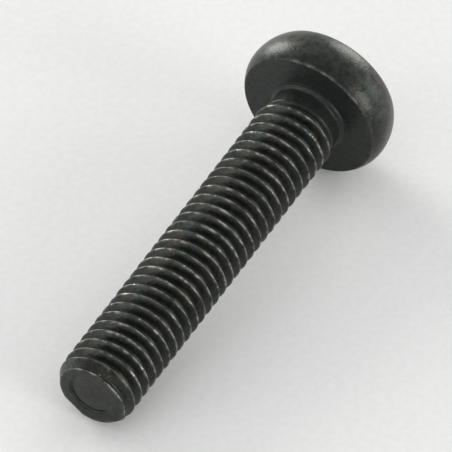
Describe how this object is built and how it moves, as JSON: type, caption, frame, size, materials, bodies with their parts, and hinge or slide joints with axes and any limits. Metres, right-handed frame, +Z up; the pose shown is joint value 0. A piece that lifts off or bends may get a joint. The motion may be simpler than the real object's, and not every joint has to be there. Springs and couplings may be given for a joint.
{
  "type": "machine screw",
  "caption": "Pan head machine screw with a metric thread, a short collar and neck under its flat bearing face, and a hexalobular drive recess, lying on its side.",
  "frame": {"origin": "middle of the screw's box on the surface that it lies on, under the middle of its length", "axes": "+X from the threaded end towards the head, +Z up from the surface. The screw's own axis lies in the XZ plane and climbs 5.07 degrees towards the head, because the head is wider than the thread."},
  "size_m": [0.0286, 0.0094, 0.0094],
  "materials": {
    "black_steel": "black oxide, half matt, rubbed bright along the thread crests and on the corners of the head"
  },
  "bodies": {
    "root": {"screw": "black_steel"}
  },
  "joints": []
}
